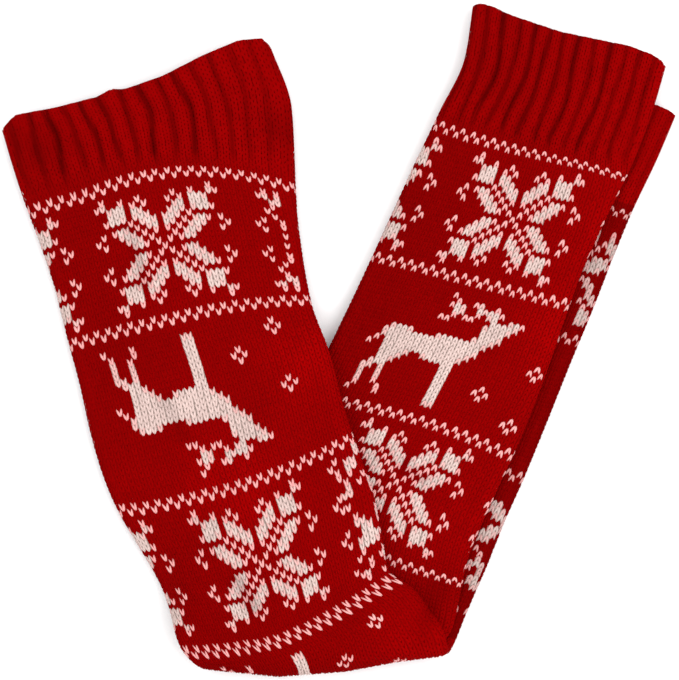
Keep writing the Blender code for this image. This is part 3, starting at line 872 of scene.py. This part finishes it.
# The ground's dark between its loops, and its valley, are painted shade; amid is white yarn darkened to
# grey-brown as painted shade in the holes.
groundLook = {
    "dark": (0.19, 0.0001, 0.0003, 1.0),
    "bright": (0.26, 0.0002, 0.0005, 1.0),
    "valley": (0.05, 0.0, 0.0, 1.0),
    "cuff": (0.26, 0.0002, 0.0004, 1.0),
    "amid": (0.32, 0.24, 0.21, 1.0),
    "valleyShare": 0.8, "loopTone": 0.6, "fibreTone": 0.5,
    "plumpAcross": 0.6, "plumpAlong": 0.5, "slant": 0.75, "fibreScale": 2600.0,
    "roughness": 0.85, "roughnessVaries": 0.12, "bump": 0.7, "bumpDepth": 0.0008, "fibreBump": 0.25,
    "specular": 0.02, "sheen": 0.03, "sheenRoughness": 0.5, "sheenTint": (0.6, 0.01, 0.01, 1.0),
}

print("stage: yarns")
redYarn = yarnMaterial("redYarn", redLook)
whiteYarn = yarnMaterial("whiteYarn", whiteLook)
redGround = groundMaterial("redGround", groundLook)

# Painted light and shade of the lay, as brightness of each sock's leg and cuffs, and darker painted shade on
# the outer sock's back where it shows as a strip beside the inner one
paintedShadingLevels = {
    "outerLeg": (0.60, 0.70),  # at the left edge and at the right one
    "outerCuff": (0.71, 0.69),
    "innerLeg": (0.56, 0.75),
    "innerCuff": (0.63, 0.74),
    "lowerStrip": 0.49,
    "lowerStripFrom": 42.0,  # column
    "lowerStripCourses": (26.0, 116.0),
}
# Painted light and shade: soft light and dark spots on the lay, in plan: x, y, width and gain
paintedLightShadeSpots = [
    (-20.0, -8.0, 20.0, 0.35), (-55.0, -72.0, 24.0, 0.34), (-104.0, -66.0, 15.0, 0.16),
    (-100.0, -5.0, 16.0, -0.10), (40.0, -154.0, 18.0, 0.22), (50.0, -125.0, 13.0, -0.14),
    (150.0, 86.0, 18.0, 0.08), (131.0, 56.0, 18.0, 0.12), (105.0, 5.0, 18.0, 0.20),
    (86.0, -45.0, 15.0, -0.10), (-45.0, 118.0, 20.0, -0.06), (-29.0, 104.0, 11.0, -0.26),
    (-150.0, 95.0, 18.0, -0.24), (3.0, -130.0, 14.0, -0.10), (34.0, 68.0, 12.0, -0.06),
]
# and streaks of painted shade in creases: x1, y1, x2, y2, width and gain
paintedShadeStreaks = [
    (-104.0, 55.0, -97.0, 28.0, 3.5, -0.22), (-50.0, -118.0, -42.0, -132.0, 4.0, -0.30),
    (-86.0, -30.0, -79.0, -46.0, 4.0, -0.18), (32.0, -62.0, 42.0, -70.0, 5.0, -0.26),
    (48.0, -122.0, 40.0, -146.0, 5.0, -0.14), (82.0, 8.0, 74.0, -4.0, 4.0, -0.14),
]


def paintedShadeOf(sock, leg, cuff, p, u, v):
    # painted light and shade, as brightness: even from the left edge to the right one, in the leg and in the
    # cuffs, times a bell round each spot and along each streak
    across, soft = sock.across(u, v), inCuffs(v)
    value = ((leg[0] + (leg[1] - leg[0]) * across) * (1.0 - soft)
             + (cuff[0] + (cuff[1] - cuff[0]) * across) * soft)
    for x1, y1, x2, y2, width, gain in [(x, y, x, y, w, g) for x, y, w, g in paintedLightShadeSpots] + paintedShadeStreaks:
        value = value * (1.0 + gain * np.exp(-((toLine(p[:, 0], p[:, 1], x1, y1, x2, y2) / width) ** 2)))
    return value


def outerPaintedShade(p, u, v):
    # the outer sock's painted light and shade, with darker painted shade where its back shows as a strip
    # beside the inner one
    value = paintedShadeOf(outer, paintedShadingLevels["outerLeg"], paintedShadingLevels["outerCuff"], p, u, v)
    first, last = paintedShadingLevels["lowerStripCourses"]
    strip = (v > first) & (v < last) & (np.mod(u, knit["around"]) > paintedShadingLevels["lowerStripFrom"])
    return np.where(strip, paintedShadingLevels["lowerStrip"], value)


def innerPaintedShade(p, u, v):
    # the inner sock's painted light and shade
    return paintedShadeOf(inner, paintedShadingLevels["innerLeg"], paintedShadingLevels["innerCuff"], p, u, v)


def knitPieces(label, sock, white, shown, paintedShade, fold):
    # stitches of each cuff and leg, red and white apart. Red is full in the cuffs, and white is
    # full amid white.
    made = []
    narrow, wide = knit["narrowSeam"], knit["wideSeam"]
    groups = {"NarrowCuff": (0, narrow), "RightLeg": (narrow, fold), "LeftLeg": (fold, wide),
              "WideCuff": (wide, knit["courses"])}
    columns, courses = np.meshgrid(np.arange(knit["around"]), np.arange(knit["courses"]), indexing="ij")
    crowd = crowding(white)
    redFull, whiteFull = inCuffs(courses.astype(float)), np.clip(crowd * 2.0 - 0.5, 0.0, 1.0)
    for part, (low, high) in groups.items():
        here = shown & (courses >= low) & (courses < high)
        for colour, mask, mat, full in (("Red", here & ~white, redYarn, redFull),
                                        ("White", here & white, whiteYarn, whiteFull)):
            if not mask.any():
                continue
            ob = stitchMesh(label + part + colour, sock, columns[mask], courses[mask],
                            stitch["scale"][colour], full[mask], paintedShade, crowd[mask])
            ob.data.materials.append(mat)
            "cuff_knit" if "Cuff" in part else "leg_knit"
            made.append(ob)
            print("piece", ob.name, int(mask.sum()), "stitches")
    return made


# Which stitches are made, as the rest lie hidden between the layers: margins in columns past the
# side edges, depths in courses, and the hidden parts' borders in millimetres
seen = {
    "outerMargin": 3.0,
    "innerMargin": 4.0,
    "mouthDepth": 8.0,
    "stripMargin": 13.0,
    "stripDepth": 120.0,
    "hiddenInset": 12.0,
    "hiddenBelow": 40.0,
}


def faceStitches(sock, u, v, margin):
    # the pictured face with a margin past its side edges, and all round at the mouths
    atMouths = (v < seen["mouthDepth"]) | (v > knit["courses"] - seen["mouthDepth"])
    return (u < sock.faceCount(v) + margin) | (u > knit["around"] - margin) | atMouths


stitchU, stitchV = np.meshgrid(np.arange(knit["around"]) + 0.5, np.arange(knit["courses"]) + 0.5,
                               indexing="ij")

print("stage: outer sock")
outerShown = faceStitches(outer, stitchU, stitchV, seen["outerMargin"])
outerShown |= (stitchU < outer.faceCount(stitchV) + seen["stripMargin"]) & (stitchV < seen["stripDepth"])
outerGround = groundMesh("outerSockGround", outer, outerWhite)
outerStitches = knitPieces("outerSock", outer, outerWhite, outerShown, outerPaintedShade, knit["outerFold"])

print("stage: inner sock")
innerShown = faceStitches(inner, stitchU, stitchV, seen["innerMargin"])
places = inner.points(stitchU.ravel(), stitchV.ravel(), np.zeros(stitchU.size)) * 1000.0
stitchX, stitchY = (places[:, k].reshape(stitchU.shape) for k in (0, 1))
onRightLeg = stitchV < knit["innerFold"]
leftOfTop = stitchX < atHeight(topRightEdge, stitchY) - seen["hiddenInset"]
underLeftLeg = leftOfTop & (stitchY < seen["hiddenBelow"])
innerShown &= ~(onRightLeg & underLeftLeg)
innerShown &= onRightLeg | (stitchX <= atHeight(pileEdge, stitchY) + seen["hiddenInset"])
innerGround = groundMesh("innerSockGround", inner, innerWhite)
innerStitches = knitPieces("innerSock", inner, innerWhite, innerShown, innerPaintedShade, knit["innerFold"])

for ground, nodes in ((outerGround, "outer_sock"), (innerGround, "inner_sock")):
    ground.data.materials.append(redGround)
    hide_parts(nodes + "_leg", nodes + "_narrow_cuff", nodes + "_wide_cuff")
for ob in [outerGround, innerGround] + outerStitches + innerStitches:
    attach(ob, "root")

studio = {
    "floorColour": (0.93, 0.93, 0.93, 1.0),
    "floorRoughness": 0.9,
    "floorHeight": -0.0004,
    "keyPlace": (0.7, -0.1, 1.35), "keySize": 1.3, "keyPower": 11.0,
    "fillPlace": (-0.5, 0.5, 1.6), "fillSize": 1.6, "fillPower": 9.5,
    "skyStrength": 1.02,
    "lens": 120.0, "sensor": 36.0, "frameWidth": 0.3395, "focusHeight": 0.004,
}
print("stage: studio")
bpy.ops.mesh.primitive_plane_add(size=6.0, location=(0.0, 0.0, studio["floorHeight"]))
floor = bpy.context.object
floor.name = "floor"
floorMaterial = bpy.data.materials.new("paleFloor")
floorMaterial.use_nodes = True
floorShader = floorMaterial.node_tree.nodes["Principled BSDF"]
floorShader.inputs["Base Color"].default_value = studio["floorColour"]
floorShader.inputs["Roughness"].default_value = studio["floorRoughness"]
floor.data.materials.append(floorMaterial)

world = bpy.data.worlds.new("sky")
scene.world = world
world.use_nodes = True
world.node_tree.nodes["Background"].inputs["Color"].default_value = (1.0, 1.0, 1.0, 1.0)
world.node_tree.nodes["Background"].inputs["Strength"].default_value = studio["skyStrength"]


def areaLight(name, place, size, power):
    # a round soft light aimed at the origin: tilted by its angle from straight above, then turned
    # to its compass direction
    data = bpy.data.lights.new(name, "AREA")
    data.shape, data.size, data.energy = "DISK", size, power
    lamp = bpy.data.objects.new(name, data)
    scene.collection.objects.link(lamp)
    lamp.location = place
    x, y, z = place
    lamp.rotation_euler = (math.atan2(math.hypot(x, y), z), 0.0, math.atan2(x, -y))


areaLight("key", studio["keyPlace"], studio["keySize"], studio["keyPower"])
areaLight("fill", studio["fillPlace"], studio["fillSize"], studio["fillPower"])

cameraData = bpy.data.cameras.new("camera")
cameraData.lens, cameraData.sensor_width = studio["lens"], studio["sensor"]
cameraData.sensor_fit = "HORIZONTAL"
cameraData.clip_start, cameraData.clip_end = 0.05, 20.0
camera = bpy.data.objects.new("camera", cameraData)
scene.collection.objects.link(camera)
distance = studio["frameWidth"] * studio["lens"] / studio["sensor"]
camera.location = (-lay["centre"][0] * 0.001, -lay["centre"][1] * 0.001,
                   studio["focusHeight"] + distance)
scene.camera = camera
scene.view_settings.view_transform = "Standard"

print("stage: done")
